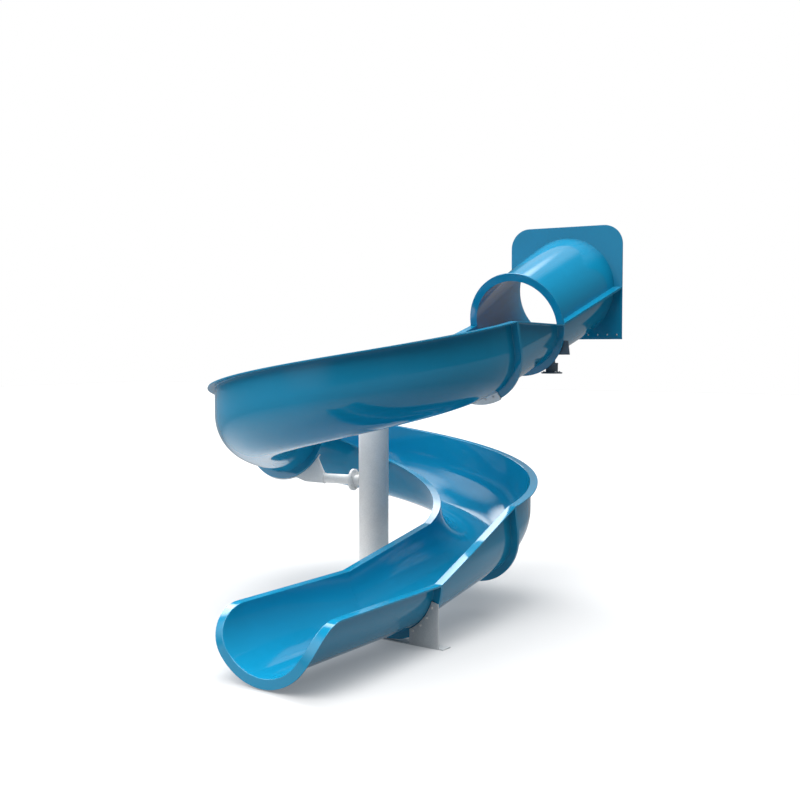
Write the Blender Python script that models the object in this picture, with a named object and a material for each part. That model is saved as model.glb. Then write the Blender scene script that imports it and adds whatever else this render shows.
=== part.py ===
"""Spiral water slide: a short flared entry tube leads into an open flume that turns once
around a steel column and ends in a level run-out.

Frame: origin under the column's base plate, on the column's axis. +Z is up. The entry tube
runs along Y and its start plate faces +Y. Every length is in metres, every angle in degrees.
"""
import math

import bmesh
import bpy
from mathutils import Vector

# Fit between pieces that touch
GAP = 0.0003

# Flume section: a half round channel with flat rim flanges and a raised outer wall
CHANNEL_R = 0.4015
WALL = 0.010
SHELL_R = CHANNEL_R + WALL
FLANGE_R = 0.474
RIM_T = 0.012
RING_T = 0.016
RING_BACK = RING_T + 1.5 * GAP
OUTER_WALL_RISE = 0.233
ARC_STEPS = 14

# The two curves, one turn around the column
TURN_R = 1.0205
TURN_START = -2.80
UPPER_CURVE_ANGLE = 180.83
LOWER_CURVE_ANGLE = 180.83
UPPER_SLOPE = 0.2382
LOWER_SLOPE = 0.2424
TURN_TOP_Z = 2.258
CURVE_STEP = 7.5

# Lean of the joint planes: forward shift per metre of height
LEAN_ENTRY = 0.35
LEAN_TOP = 0.33
LEAN_MIDDLE = 0.24
LEAN_BOTTOM = 0.22
LEAN_BLEND_ANGLE = 45.0

# Entry tube and start plate
ENTRY_X = 1.0413
ENTRY_JOINT_Y = 0.848
ENTRY_JOINT_Z = 2.481
ENTRY_LENGTH = 1.2615
ENTRY_SLOPE = 0.3127
MOUTH_R = 0.509
MOUTH_SPLIT_R = 0.6035
MOUTH_EDGE_T = 0.002
ENTRY_RING_R = 0.470
SPLIT_T = 0.012
PLATE_W = 1.211
PLATE_H = 1.156
PLATE_T = 0.016
PLATE_AXIS_HEIGHT = 0.5185
PLATE_CORNER_R = 0.20

# Straight pieces after the turn
LOWER_TRANSITION_LENGTH = 1.1965
LOWER_TRANSITION_FALL = 0.2199
RUNOUT_LENGTH = 1.503
RUNOUT_FALL = 0.0075
RUNOUT_BEND = 0.52
RUNOUT_CORNER = 0.285

# Column
COLUMN_R = 0.1365
COLUMN_WALL = 0.008
COLUMN_TOP = 1.985
CAP_T = 0.010
BASE_W = 0.46
BASE_T = 0.020
BASE_GUSSET = (0.085, 0.16, 0.010)
COLUMN_SIDES = 48

# Arms from the column to the joints of the upper curve
ARM_R = 0.0445
ARM_WALL = 0.005
ARM_FLANGE_R = 0.100
ARM_FLANGE_T = 0.012
ARM_FLANGE_FACE = 0.205
ARM_DROP = 0.436
ARM_REACH_INSET = 0.506
SADDLE_T = 0.010
SADDLE_INNER_R = SHELL_R + 0.004
SADDLE_OUTER_R = 0.484
SADDLE_FROM = -152.0
SADDLE_TO = -62.0

# Posts under the entry joint
POST_OFFSET = 0.272
POST_R = 0.057
POST_WALL = 0.005
POST_FOOT_R = 0.098
POST_FOOT_T = 0.012
POST_FOOT_DROP = 0.452
POST_HEAD_T = 0.010
POST_TOP = 0.352
ENTRY_SADDLE_EDGE = 0.486
ENTRY_SADDLE_LOW = 0.280
ENTRY_SADDLE_TOP = 0.150

# Ground saddle at the joint before the run-out
GROUND_PLATE_T = 0.008
GROUND_PLATE_HALF_W = 0.500
GROUND_PLATE_BACK = 0.075
GROUND_GUSSET_IN = 0.193
GROUND_GUSSET_OUT = 0.452
GROUND_GUSSET_TOP = 0.148
GROUND_GUSSET_T = 0.012

MATERIALS = {
    "gelcoat": ((0.020, 0.230, 0.450, 1.0), 0.0, 0.12),
    "steel": ((0.50, 0.52, 0.53, 1.0), 0.85, 0.45),
}


def heading(angle):
    """Unit direction in plan."""
    return Vector((math.cos(math.radians(angle)), math.sin(math.radians(angle)), 0.0))


class Station:
    """One cross section: a centre, the way of travel, the outward side and the lean."""

    def __init__(self, centre, angle, lean, rise):
        self.centre = Vector(centre)
        self.along = heading(angle)
        self.out = heading(angle + 90.0)
        self.lean = lean
        self.rise = rise

    def at(self, y, z, shift=0.0):
        return self.centre + self.out * y + self.along * (z * self.lean + shift) + Vector((0, 0, z))

    def moved(self, distance, slope):
        other = Station(self.centre, 0.0, self.lean, self.rise)
        other.along = self.along
        other.out = self.out
        other.centre = self.centre + self.along * distance - Vector((0, 0, slope * distance))
        return other


# Centre line

def turn_station(angle):
    """A section of the turn, by the angle gone through since its start."""
    phi = TURN_START - angle
    spent = min(angle, UPPER_CURVE_ANGLE)
    rest = max(0.0, angle - UPPER_CURVE_ANGLE)
    fall = TURN_R * math.radians(spent) * UPPER_SLOPE + TURN_R * math.radians(rest) * LOWER_SLOPE
    if angle < LEAN_BLEND_ANGLE:
        lean = LEAN_TOP + (LEAN_MIDDLE - LEAN_TOP) * angle / LEAN_BLEND_ANGLE
    else:
        whole = UPPER_CURVE_ANGLE + LOWER_CURVE_ANGLE
        share = (angle - LEAN_BLEND_ANGLE) / (whole - LEAN_BLEND_ANGLE)
        lean = LEAN_MIDDLE + (LEAN_BOTTOM - LEAN_MIDDLE) * share
    centre = heading(phi) * TURN_R + Vector((0, 0, TURN_TOP_Z - fall))
    station = Station(centre, phi - 90.0, lean, OUTER_WALL_RISE)
    station.out = heading(phi)
    return station


def outward(station):
    """Travel is clockwise, so the outer side is on the left of the way of travel."""
    station.out = Vector((-station.along.y, station.along.x, 0.0))
    return station


def entry_station(distance):
    """A section of the entry tube, by the distance back from the entry joint."""
    share = distance / ENTRY_LENGTH
    centre = (ENTRY_X, ENTRY_JOINT_Y + distance, ENTRY_JOINT_Z + ENTRY_SLOPE * distance)
    return outward(Station(centre, -90.0, LEAN_ENTRY * (1.0 - share), 0.0))


def upper_transition_station(share):
    """A section between the entry joint (0) and the top of the turn (1)."""
    first = entry_station(0.0)
    last = turn_station(0.0)
    centre = first.centre.lerp(last.centre, share)
    angle = -90.0 + TURN_START * share
    lean = LEAN_ENTRY + (LEAN_TOP - LEAN_ENTRY) * share
    return outward(Station(centre, angle, lean, OUTER_WALL_RISE * share))


def lower_station(distance):
    """A section of the straight pieces, by the distance from the bottom of the turn."""
    start = turn_station(UPPER_CURVE_ANGLE + LOWER_CURVE_ANGLE)
    end_angle = TURN_START - UPPER_CURVE_ANGLE - LOWER_CURVE_ANGLE - 90.0
    length = LOWER_TRANSITION_LENGTH
    share = min(1.0, distance / length)
    bend = RUNOUT_BEND * share
    beyond = max(0.0, distance - length)
    fall = LOWER_TRANSITION_FALL * share + RUNOUT_FALL * beyond / RUNOUT_LENGTH
    centre = start.centre + heading(end_angle - RUNOUT_BEND / 2.0) * (length * share)
    centre += heading(end_angle - RUNOUT_BEND) * beyond
    centre.z = start.centre.z - fall
    lean = LEAN_BOTTOM * (1.0 - share)
    return outward(Station(centre, end_angle - bend, lean, OUTER_WALL_RISE * (1.0 - share)))


# Sections

def arc(radius, start, stop, steps):
    points = []
    for i in range(steps + 1):
        a = math.radians(start + (stop - start) * i / steps)
        points.append((radius * math.cos(a), radius * math.sin(a)))
    return points


def channel_point(reach, rise, depth):
    """A point of the open flume's wall. reach runs along the wall's channel side from the
    inner rim, and depth is measured outward through the wall."""
    half_round = math.pi * CHANNEL_R
    reach = min(reach, half_round + rise)
    if reach <= half_round:
        a = math.pi + reach / CHANNEL_R
        radius = CHANNEL_R + depth
        return radius * math.cos(a), radius * math.sin(a)
    return CHANNEL_R + depth, reach - half_round


class Flume:
    """An open flume piece between two joint planes, or from a joint to a rounded free end."""

    def __init__(self, station_at, length, rows, slopes, corner=0.0):
        self.station_at = station_at
        self.length = length
        self.rows = rows
        self.slopes = slopes
        self.corner = corner
        half_round = math.pi * CHANNEL_R
        if corner:
            round_part = [corner * (1.0 - math.cos(math.radians(15.0 * i))) for i in range(7)]
            middle = half_round - 2.0 * corner
            self.reaches = round_part + [corner + middle * i / 8 for i in range(1, 8)]
            self.reaches += [half_round - reach for reach in reversed(round_part)]
        else:
            self.reaches = [half_round * i / ARC_STEPS for i in range(ARC_STEPS + 1)]
            self.reaches += [half_round, half_round]
        self.columns = len(self.reaches) - 1

    def end_reach(self, reach, rim):
        """Reach of a point of the rounded end, and how far short of the end it stops."""
        half_round = math.pi * CHANNEL_R
        edge = min(reach, half_round - reach)
        if edge >= self.corner:
            return reach, rim
        radius = self.corner - rim
        side = radius * (self.corner - edge) / self.corner
        short = self.corner - math.sqrt(max(0.0, radius * radius - side * side))
        edge = self.corner - side
        return (edge if reach < half_round / 2.0 else half_round - edge), short

    def station(self, row, ring, short):
        if row == 0:
            return self.station_at(0.0).moved(ring, self.slopes[0])
        if row == self.rows and not self.corner:
            return self.station_at(self.length).moved(-ring, self.slopes[1])
        return self.station_at((self.length - short) * row / self.rows)

    def place(self, row, column, inset, depth):
        """A point of the wall. Inset 0 is on the edge, inset 1 behind the edge's flange."""
        half_round = math.pi * CHANNEL_R
        rim = RIM_T * inset
        ring = RING_T * inset + GAP / 2.0
        reach = self.reaches[column]
        short = 0.0
        if self.corner:
            reach, short = self.end_reach(reach, rim)
        elif column <= ARC_STEPS:
            reach = rim + reach * (half_round - rim) / half_round
        station = self.station(row, ring, short)
        if column > ARC_STEPS and not self.corner:
            reach = half_round + station.rise * (column - ARC_STEPS) / 2.0
        reach = min(reach, half_round + station.rise - rim)
        return station.at(*channel_point(reach, station.rise, depth))

    def flange(self, edge, row):
        return FLANGE_R - CHANNEL_R


class HalfTube:
    """Half of the flared entry tube, with flanges along its split lines and at the joint."""

    def __init__(self, upper, rows):
        self.upper = upper
        self.rows = rows
        self.columns = ARC_STEPS

    def place(self, row, column, inset, depth):
        """A point of the wall. Inset 0 is on the edge, inset 1 behind the edge's flange."""
        first = MOUTH_EDGE_T * inset
        last = RING_T * inset + GAP / 2.0
        back = ENTRY_LENGTH - first - (ENTRY_LENGTH - first - last) * row / self.rows
        radius = CHANNEL_R + (MOUTH_R - CHANNEL_R) * back / ENTRY_LENGTH
        split = GAP / 2.0 + SPLIT_T * inset
        trim = math.degrees(split / radius)
        a = math.radians(180.0 + trim + (180.0 - 2.0 * trim) * column / self.columns)
        y, z = (radius + depth) * math.cos(a), (radius + depth) * math.sin(a)
        if column in (0, self.columns):
            z = -split
        return entry_station(back).at(y, -z if self.upper else z)

    def flange(self, edge, row):
        if edge == "start":
            return WALL + MOUTH_EDGE_T
        if edge == "end":
            return ENTRY_RING_R - CHANNEL_R
        mouth = MOUTH_SPLIT_R - MOUTH_R
        joint = FLANGE_R - CHANNEL_R
        return mouth + (joint - mouth) * row / self.rows


# Building solids

def material(kind, name):
    colour, metallic, roughness = MATERIALS[kind]
    made = bpy.data.materials.new(name)
    made.use_nodes = True
    shader = made.node_tree.nodes["Principled BSDF"]
    shader.inputs["Base Color"].default_value = colour
    shader.inputs["Metallic"].default_value = metallic
    shader.inputs["Roughness"].default_value = roughness
    made.diffuse_color = colour
    return made


def finish(name, mesh, kind):
    """Close the mesh, turn its faces outward and add it as an object."""
    bmesh.ops.remove_doubles(mesh, verts=mesh.verts, dist=0.00002)
    bmesh.ops.dissolve_degenerate(mesh, edges=mesh.edges, dist=0.00002)
    bmesh.ops.recalc_face_normals(mesh, faces=mesh.faces)
    if mesh.calc_volume(signed=True) < 0.0:
        bmesh.ops.reverse_faces(mesh, faces=mesh.faces)
    data = bpy.data.meshes.new(name)
    mesh.to_mesh(data)
    mesh.free()
    item = bpy.data.objects.new(name, data)
    item.data.materials.append(material(kind, name))
    bpy.context.scene.collection.objects.link(item)
    return item


def skin(name, loops, kind):
    """A solid through a row of equal closed loops, capped at both ends."""
    mesh = bmesh.new()
    rows = [[mesh.verts.new(p) for p in loop] for loop in loops]
    count = len(rows[0])
    for near, far in zip(rows, rows[1:]):
        for i in range(count):
            j = (i + 1) % count
            mesh.faces.new((near[i], near[j], far[j], far[i]))
    mesh.faces.new(list(reversed(rows[0])))
    mesh.faces.new(rows[-1])
    return finish(name, mesh, kind)


def edge_walk(piece):
    """The piece's edge as (row, column, flange width), once around."""
    rows, columns = piece.rows, piece.columns
    walk = [(row, 0, piece.flange("rim", row)) for row in range(rows + 1)]
    walk += [(rows, column, piece.flange("end", rows)) for column in range(columns + 1)]
    walk += [(row, columns, piece.flange("rim", row)) for row in range(rows, -1, -1)]
    walk += [(0, column, piece.flange("start", 0)) for column in range(columns, -1, -1)]
    return walk


def shell(name, piece):
    """A moulded wall with a flange turned outward all around its edge, as one solid."""
    mesh = bmesh.new()
    grids = []
    for inset, depth in ((0, 0.0), (1, WALL)):
        grid = []
        for row in range(piece.rows + 1):
            grid.append([
                mesh.verts.new(piece.place(row, column, inset, depth))
                for column in range(piece.columns + 1)
            ])
        grids.append(grid)
        for row in range(piece.rows):
            for column in range(piece.columns):
                face = [
                    grid[row][column], grid[row][column + 1],
                    grid[row + 1][column + 1], grid[row + 1][column],
                ]
                mesh.faces.new(face)
    strips = []
    for row, column, width in edge_walk(piece):
        strips.append((
            grids[0][row][column],
            mesh.verts.new(piece.place(row, column, 0, width)),
            mesh.verts.new(piece.place(row, column, 1, width)),
            grids[1][row][column],
        ))
    for near, far in zip(strips, strips[1:] + strips[:1]):
        for i in range(3):
            corners = []
            for vert in (near[i], near[i + 1], far[i + 1], far[i]):
                if vert not in corners:
                    corners.append(vert)
            if len(corners) > 2:
                mesh.faces.new(corners)
    return finish(name, mesh, "gelcoat")


def rounded_outline(half_w, low, high, corner, count):
    """Rectangle outline with round top corners, one point per equal angle about the axis."""
    points = []
    for i in range(count):
        a = math.radians(360.0 * (i + 0.5) / count)
        dx, dz = math.cos(a), math.sin(a)
        reach = min(
            half_w / abs(dx) if abs(dx) > 1e-9 else 1e9,
            (high if dz > 0 else -low) / abs(dz) if abs(dz) > 1e-9 else 1e9,
        )
        x, z = dx * reach, dz * reach
        cx, cz = half_w - corner, high - corner
        if abs(x) > cx and z > cz:
            b = abs(dx) * cx + dz * cz
            c = cx * cx + cz * cz - corner * corner
            reach = b + math.sqrt(b * b - c)
            x, z = dx * reach, dz * reach
        points.append((x, z))
    return points


def snap_low_corners(points, half_w, low):
    """Move the point nearest each lower corner onto it, so the corners are square."""
    snapped = list(points)
    for side in (-1.0, 1.0):
        corner = (side * half_w, low)
        nearest = min(range(len(snapped)), key=lambda i: math.dist(snapped[i], corner))
        snapped[nearest] = corner
    return snapped


def start_plate():
    """Upright plate around the mouth of the entry tube."""
    count = 64
    mouth = entry_station(ENTRY_LENGTH).centre
    low = -PLATE_AXIS_HEIGHT
    high = PLATE_H - PLATE_AXIS_HEIGHT
    outer = rounded_outline(PLATE_W / 2.0, low, high, PLATE_CORNER_R, count)
    outer = snap_low_corners(outer, PLATE_W / 2.0, low)
    inner = []
    for i in range(count):
        a = math.radians(360.0 * (i + 0.5) / count)
        inner.append((MOUTH_R * math.cos(a), MOUTH_R * math.sin(a)))
    mesh = bmesh.new()
    rows = []
    front = mouth.y + GAP
    for y, ring in ((front, outer), (front, inner), (front + PLATE_T, inner), (front + PLATE_T, outer)):
        rows.append([mesh.verts.new((mouth.x + px, y, mouth.z + pz)) for px, pz in ring])
    for near, far in zip(rows, rows[1:] + rows[:1]):
        for i in range(count):
            j = (i + 1) % count
            mesh.faces.new((near[i], near[j], far[j], far[i]))
    return finish("start_plate", mesh, "gelcoat")


def prism(name, outline, base, side, height, thick, kind="steel"):
    """An outline of (side, height) points, extruded along the vector thick."""
    near = [base + side * a + height * b for a, b in outline]
    far = [p + thick for p in near]
    return skin(name, [near, far], kind)


def circle(radius, sides, start=0.0):
    points = []
    for i in range(sides):
        a = math.radians(start + 360.0 * i / sides)
        points.append((radius * math.cos(a), radius * math.sin(a)))
    return points


def disc(name, centre, axis, radius, thickness, sides=40):
    side = axis.orthogonal().normalized()
    up = axis.cross(side)
    return prism(name, circle(radius, sides), centre, side, up, axis * thickness)


def pipe(name, start, axis, length, outer_r, wall, cope_r=None, sides=32):
    """An open pipe. With cope_r its start is cut to sit on the upright column."""
    side = axis.cross(Vector((0, 0, 1)))
    if side.length < 0.5:
        side = Vector((1, 0, 0))
    side.normalize()
    up = side.cross(axis)
    mesh = bmesh.new()
    rows = []
    for radius, far in ((outer_r, False), (outer_r, True), (outer_r - wall, True), (outer_r - wall, False)):
        row = []
        for a, b in circle(radius, sides):
            begin = 0.0
            if cope_r is not None:
                begin = math.sqrt(cope_r * cope_r - a * a)
            reach = length if far else begin
            row.append(mesh.verts.new(start + side * a + up * b + axis * reach))
        rows.append(row)
    for near, far in zip(rows, rows[1:] + rows[:1]):
        for i in range(sides):
            j = (i + 1) % sides
            mesh.faces.new((near[i], near[j], far[j], far[i]))
    return finish(name, mesh, "steel")


# Flumes

def build_flumes():
    start_plate()
    shell("entry_tube_upper_half", HalfTube(True, 6))
    shell("entry_tube_lower_half", HalfTube(False, 6))

    drop = entry_station(0.0).centre - turn_station(0.0).centre
    length = drop.to_2d().length
    slope = drop.z / length
    upper_transition = Flume(lambda s: upper_transition_station(s / length), length, 6, (slope, slope))
    shell("upper_transition_flume", upper_transition)

    per_degree = TURN_R * math.radians(1.0)
    slopes = (UPPER_SLOPE, UPPER_SLOPE)
    rows = round(UPPER_CURVE_ANGLE / CURVE_STEP)
    length = per_degree * UPPER_CURVE_ANGLE
    shell("upper_curve_flume", Flume(lambda s: turn_station(s / per_degree), length, rows, slopes))

    slopes = (LOWER_SLOPE, LOWER_SLOPE)
    rows = round(LOWER_CURVE_ANGLE / CURVE_STEP)
    length = per_degree * LOWER_CURVE_ANGLE
    lower_curve = Flume(lambda s: turn_station(UPPER_CURVE_ANGLE + s / per_degree), length, rows, slopes)
    shell("lower_curve_flume", lower_curve)

    slope = LOWER_TRANSITION_FALL / LOWER_TRANSITION_LENGTH
    slopes = (slope, slope)
    shell("lower_transition_flume", Flume(lower_station, LOWER_TRANSITION_LENGTH, 8, slopes))

    slope = RUNOUT_FALL / RUNOUT_LENGTH
    runout = Flume(
        lambda s: lower_station(LOWER_TRANSITION_LENGTH + s),
        RUNOUT_LENGTH,
        5,
        (slope, slope),
        RUNOUT_CORNER,
    )
    shell("runout_flume", runout)


# Steelwork

def build_column():
    up = Vector((0, 0, 1))
    half = BASE_W / 2.0
    square = [(-half, -half), (half, -half), (half, half), (-half, half)]
    prism("column_base_plate", square, Vector((0, 0, 0)), Vector((1, 0, 0)), Vector((0, 1, 0)), up * BASE_T)
    height = COLUMN_TOP - BASE_T - GAP
    pipe("column_pipe", up * (BASE_T + GAP), up, height, COLUMN_R, COLUMN_WALL, sides=COLUMN_SIDES)
    disc("column_cap", up * (COLUMN_TOP + GAP), up, COLUMN_R + 0.004, CAP_T, COLUMN_SIDES)
    reach, tall, thick = BASE_GUSSET
    for i in range(4):
        out = heading(45.0 + 90.0 * i)
        side = up.cross(out)
        inner = COLUMN_R + GAP
        low = BASE_T + GAP
        outline = [
            (inner, low), (inner + reach, low), (inner + reach, low + 0.025),
            (inner + 0.02, low + tall), (inner, low + tall),
        ]
        prism(f"column_base_gusset_{i + 1}", outline, side * (-thick / 2.0), out, up, side * thick)


def saddle_outline():
    """Steel saddle under a joint ring, widened on the column side to take the arm."""
    outline = arc(SADDLE_INNER_R, SADDLE_TO, SADDLE_FROM, 16)
    outline += arc(SADDLE_OUTER_R, SADDLE_FROM, SADDLE_FROM + 4.0, 1)
    outline += [
        (-ARM_REACH_INSET, -ARM_DROP + 0.052),
        (-ARM_REACH_INSET, -ARM_DROP - 0.046),
        (-0.300, -ARM_DROP - 0.046),
    ]
    outline += arc(SADDLE_OUTER_R, -112.0, SADDLE_TO, 9)
    return outline


def build_arm(label, joint, slope):
    """Bracket from the column to the saddle under one joint of the curve."""
    station = joint.moved(RING_BACK, slope)
    saddle = saddle_outline()
    near = [station.at(y, z) for y, z in saddle]
    far = [station.at(y, z, SADDLE_T) for y, z in saddle]
    skin(f"{label}_arm_saddle", [near, far], "steel")

    target = station.at(-ARM_REACH_INSET, -ARM_DROP, SADDLE_T / 2.0)
    axis = Vector((target.x, target.y, 0.0))
    axis.normalize()
    corners = []
    for z in (-ARM_DROP + 0.052, -ARM_DROP - 0.046):
        for shift in (0.0, SADDLE_T):
            corners.append(station.at(-ARM_REACH_INSET, z, shift))
    reach = min(axis.dot(corner) for corner in corners)
    base = Vector((0, 0, target.z))
    flange_back = ARM_FLANGE_FACE - ARM_FLANGE_T
    pipe(
        f"{label}_arm_stub", base, axis, flange_back - GAP, ARM_R, ARM_WALL,
        cope_r=COLUMN_R + GAP,
    )
    disc(f"{label}_arm_stub_flange", base + axis * flange_back, axis, ARM_FLANGE_R, ARM_FLANGE_T)
    outer_start = ARM_FLANGE_FACE + GAP
    disc(f"{label}_arm_flange", base + axis * outer_start, axis, ARM_FLANGE_R, ARM_FLANGE_T)
    pipe_start = outer_start + ARM_FLANGE_T + GAP
    plate_start = reach - ARM_FLANGE_T - GAP
    start = base + axis * pipe_start
    pipe(f"{label}_arm_pipe", start, axis, plate_start - GAP - pipe_start, ARM_R, ARM_WALL)
    disc(f"{label}_arm_end_plate", base + axis * plate_start, axis, ARM_R + 0.008, ARM_FLANGE_T)


def build_entry_posts():
    """Two short posts, each with a bracket behind the ring of the entry joint."""
    joint = entry_station(0.0)
    station = entry_station(RING_BACK)
    up = Vector((0, 0, 1))
    for label, side in (("left", -1.0), ("right", 1.0)):
        ring_edge = SHELL_R + 0.006
        outline = []
        low_angle = math.degrees(math.asin(ENTRY_SADDLE_TOP / ring_edge))
        high_angle = 58.0
        for y, z in arc(ring_edge, -low_angle, -high_angle, 8):
            outline.append((side * y, z))
        inner_y = ring_edge * math.cos(math.radians(high_angle))
        low = -ENTRY_SADDLE_LOW - 0.100
        outline.append((side * inner_y, low))
        outline.append((side * (POST_OFFSET + POST_R), low))
        outline.append((side * (POST_OFFSET + POST_R + 0.012), -ENTRY_SADDLE_LOW))
        outline.append((side * ENTRY_SADDLE_EDGE, -ENTRY_SADDLE_LOW))
        outline.append((side * ENTRY_SADDLE_EDGE, -ENTRY_SADDLE_TOP))
        near = [station.at(y, z) for y, z in outline]
        far = [station.at(y, z, -SADDLE_T) for y, z in outline]
        skin(f"entry_saddle_{label}", [near, far], "steel")

        edge = station.at(side * POST_OFFSET, low, -SADDLE_T)
        centre = edge - station.along * (GAP + POST_R)
        foot = Vector((centre.x, centre.y, joint.centre.z - POST_FOOT_DROP))
        disc(f"entry_post_foot_{label}", foot, up, POST_FOOT_R, POST_FOOT_T)
        pipe_low = foot.z + POST_FOOT_T + GAP
        head_low = joint.centre.z - POST_TOP - POST_HEAD_T
        start = Vector((centre.x, centre.y, pipe_low))
        pipe(f"entry_post_{label}", start, up, head_low - GAP - pipe_low, POST_R, POST_WALL)
        disc(f"entry_post_head_{label}", Vector((centre.x, centre.y, head_low)), up, POST_R, POST_HEAD_T)


def build_ground_saddle():
    """Two upright plates and a thin floor plate that carry the joint before the run-out."""
    station = lower_station(LOWER_TRANSITION_LENGTH)
    up = Vector((0, 0, 1))
    floor = Vector((station.centre.x, station.centre.y, 0.0))
    face = RING_BACK
    front = face + GROUND_GUSSET_T
    back = -GROUND_PLATE_BACK
    outline = [
        (-GROUND_PLATE_HALF_W, back), (GROUND_PLATE_HALF_W, back),
        (GROUND_PLATE_HALF_W, front), (-GROUND_PLATE_HALF_W, front),
    ]
    prism("ground_saddle_base", outline, floor, station.out, station.along, up * GROUND_PLATE_T)
    ring_edge = SHELL_R + 0.005
    centre_z = station.centre.z
    for label, side in (("left", -1.0), ("right", 1.0)):
        low = GROUND_PLATE_T + GAP - centre_z
        steep = math.degrees(math.acos(GROUND_GUSSET_IN / ring_edge))
        shallow = math.degrees(math.asin(0.130 / ring_edge))
        outline = []
        for y, z in arc(ring_edge, -shallow, -steep, 8):
            outline.append((side * y, z))
        outline.append((side * GROUND_GUSSET_IN, low))
        outline.append((side * GROUND_GUSSET_OUT, low))
        outline.append((side * GROUND_GUSSET_OUT, -GROUND_GUSSET_TOP))
        base = station.centre + station.along * face
        prism(f"ground_saddle_{label}", outline, base, station.out, up, station.along * GROUND_GUSSET_T)


def main():
    for item in list(bpy.data.objects):
        bpy.data.objects.remove(item)
    build_flumes()
    build_column()
    build_arm("upper", turn_station(0.0), UPPER_SLOPE)
    build_arm("lower", turn_station(UPPER_CURVE_ANGLE), LOWER_SLOPE)
    build_entry_posts()
    build_ground_saddle()


main()
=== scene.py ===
"""Looks of the spiral water slide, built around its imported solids.

The moulded glass fibre pieces are rebuilt as fine smooth shells on the same centre line and
with the same sections as the solids they stand for. The steelwork is rebuilt with rounded
edges, weld beads and bolts. Every length is in metres, every angle in degrees.
"""
import math

import bmesh
import bpy
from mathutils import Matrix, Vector


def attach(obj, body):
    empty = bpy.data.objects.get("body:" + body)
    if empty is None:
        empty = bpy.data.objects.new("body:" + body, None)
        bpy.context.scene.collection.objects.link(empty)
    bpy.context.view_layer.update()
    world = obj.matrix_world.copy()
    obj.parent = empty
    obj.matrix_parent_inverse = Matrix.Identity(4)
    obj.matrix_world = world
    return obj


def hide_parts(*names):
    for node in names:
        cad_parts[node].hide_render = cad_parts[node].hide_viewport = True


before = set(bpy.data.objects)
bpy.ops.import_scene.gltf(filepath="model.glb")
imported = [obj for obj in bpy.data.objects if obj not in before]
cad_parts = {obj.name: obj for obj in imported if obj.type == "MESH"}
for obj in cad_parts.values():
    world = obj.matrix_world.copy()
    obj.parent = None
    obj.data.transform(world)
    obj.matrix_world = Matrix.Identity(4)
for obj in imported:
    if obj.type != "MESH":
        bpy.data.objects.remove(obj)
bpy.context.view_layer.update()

UP = Vector((0.0, 0.0, 1.0))
EAST = Vector((1.0, 0.0, 0.0))
NORTH = Vector((0.0, 1.0, 0.0))
GAP = 0.0003

# Flume section: a half round channel with flat rim flanges and a raised outer wall
CHANNEL_R = 0.4015
HALF_ROUND = math.pi * CHANNEL_R
WALL = 0.010
SHELL_R = CHANNEL_R + WALL
FLANGE_R = 0.474
RIM_T = 0.012
RING_T = 0.016
RING_BACK = RING_T + 1.5 * GAP
OUTER_WALL_RISE = 0.233

# The two curves, one turn around the column
TURN_R = 1.0205
TURN_START = -2.80
UPPER_CURVE_ANGLE = 180.83
LOWER_CURVE_ANGLE = 180.83
UPPER_SLOPE = 0.2382
LOWER_SLOPE = 0.2424
TURN_TOP_Z = 2.258

# Lean of the joint planes: forward shift per metre of height
LEAN_ENTRY = 0.35
LEAN_TOP = 0.33
LEAN_MIDDLE = 0.24
LEAN_BOTTOM = 0.22
LEAN_BLEND_ANGLE = 45.0

# Entry tube and start plate
ENTRY_X = 1.0413
ENTRY_JOINT_Y = 0.848
ENTRY_JOINT_Z = 2.481
ENTRY_LENGTH = 1.2615
ENTRY_SLOPE = 0.3127
MOUTH_R = 0.509
MOUTH_SPLIT_R = 0.6035
ENTRY_RING_R = 0.470
SPLIT_T = 0.012
PLATE_W = 1.211
PLATE_H = 1.156
PLATE_T = 0.016
PLATE_AXIS_HEIGHT = 0.5185
PLATE_CORNER_R = 0.20
PLATE_EDGE_R = 0.005
PLATE_LIP_H = 0.016
PLATE_LIP_SET_BACK = 0.009
PLATE_BOLTS = 12
PLATE_BOLT_HEIGHT = 0.047

# Straight pieces after the turn
LOWER_TRANSITION_LENGTH = 1.1965
LOWER_TRANSITION_FALL = 0.2199
RUNOUT_LENGTH = 1.503
RUNOUT_FALL = 0.0075
RUNOUT_BEND = 0.52
RUNOUT_CORNER = 0.285

# Column
COLUMN_R = 0.1365
COLUMN_WALL = 0.008
COLUMN_TOP = 1.985
CAP_T = 0.010
BASE_W = 0.46
BASE_T = 0.020
BASE_CORNER_R = 0.012
BASE_BEVEL = 0.0016
BASE_GUSSET = (0.085, 0.16, 0.010)
GUSSET_NOTCH = 0.012
GUSSET_FOOT_EDGE = 0.025
GUSSET_TOP_EDGE = 0.020
BASE_BOLT_OFFSET = 0.185
CAP_OVERHANG = 0.004
COLUMN_SIDES = 128

# Arms from the column to the joints of the upper curve
ARM_R = 0.0445
ARM_WALL = 0.005
ARM_FLANGE_R = 0.100
ARM_FLANGE_T = 0.012
ARM_FLANGE_FACE = 0.205
ARM_FLANGE_BOLT_R = 0.076
ARM_DROP = 0.436
ARM_REACH_INSET = 0.506
ARM_END_OVERHANG = 0.008
ARM_FLANGE_BOLTS = 6
FLANGE_SIDES = 96
SADDLE_T = 0.010
SADDLE_INNER_R = SHELL_R + 0.004
SADDLE_OUTER_R = 0.484
SADDLE_FROM = -152.0
SADDLE_TO = -62.0
SADDLE_WIDE_TO = -112.0
SADDLE_WIDE_EDGE = 0.300
SADDLE_PAD_TOP = 0.052
SADDLE_PAD_LOW = 0.046
SADDLE_PAD_WELD = 0.040
SADDLE_BOLT_MARGIN = 8.0
BOLT_CIRCLE_R = 0.437

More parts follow.
